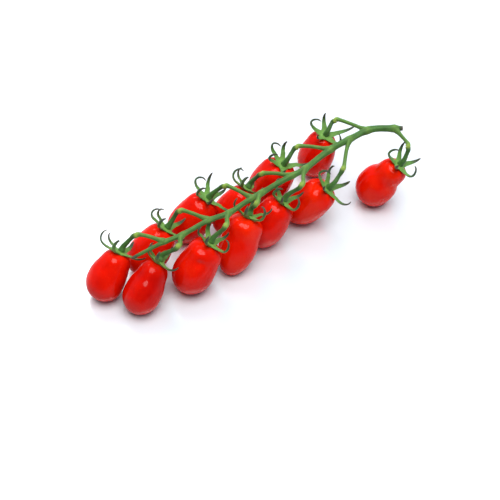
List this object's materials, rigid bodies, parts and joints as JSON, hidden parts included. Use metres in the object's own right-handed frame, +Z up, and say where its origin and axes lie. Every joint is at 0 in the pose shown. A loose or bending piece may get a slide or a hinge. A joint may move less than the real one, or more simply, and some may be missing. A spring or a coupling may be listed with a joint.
{
  "type": "truss of tomatoes",
  "caption": "Vine truss of ripe plum cherry tomatoes lying on a surface, with curled green sepals, jointed fruit stalks and a cut main stem.",
  "frame": {"origin": "bottom centre of the whole truss's bounding box, on the surface it lies on", "axes": "+X along the truss towards the cut end of the main stem, +Y towards the back row of fruit, +Z up from the surface"},
  "size_m": [0.213, 0.076, 0.0505],
  "materials": {
    "skin": "smooth waxy gloss",
    "stem": "dull, finely hairy green",
    "side_stem": "dull, finely hairy green",
    "stalk": "dull, finely hairy green",
    "calyx": "dull leaf green with dry grey-brown tips"
  },
  "bodies": {
    "root": {"main_stem": "stem", "side_stem_01": "side_stem", "fruit_stalk_01": "stalk", "calyx_01": "calyx", "tomato_01": "skin", "side_stem_02": "side_stem", "fruit_stalk_02": "stalk", "calyx_02": "calyx", "tomato_02": "skin", "side_stem_03": "side_stem", "fruit_stalk_03": "stalk", "calyx_03": "calyx", "tomato_03": "skin", "side_stem_04": "side_stem", "fruit_stalk_04": "stalk", "calyx_04": "calyx", "tomato_04": "skin", "side_stem_05": "side_stem", "fruit_stalk_05": "stalk", "calyx_05": "calyx", "tomato_05": "skin", "side_stem_06": "side_stem", "fruit_stalk_06": "stalk", "calyx_06": "calyx", "tomato_06": "skin", "side_stem_07": "side_stem", "fruit_stalk_07": "stalk", "calyx_07": "calyx", "tomato_07": "skin", "side_stem_08": "side_stem", "fruit_stalk_08": "stalk", "calyx_08": "calyx", "tomato_08": "skin", "side_stem_09": "side_stem", "fruit_stalk_09": "stalk", "calyx_09": "calyx", "tomato_09": "skin", "side_stem_10": "side_stem", "fruit_stalk_10": "stalk", "calyx_10": "calyx", "tomato_10": "skin", "side_stem_11": "side_stem", "fruit_stalk_11": "stalk", "calyx_11": "calyx", "tomato_11": "skin", "side_stem_12": "side_stem", "fruit_stalk_12": "stalk", "calyx_12": "calyx", "tomato_12": "skin"}
  },
  "joints": []
}
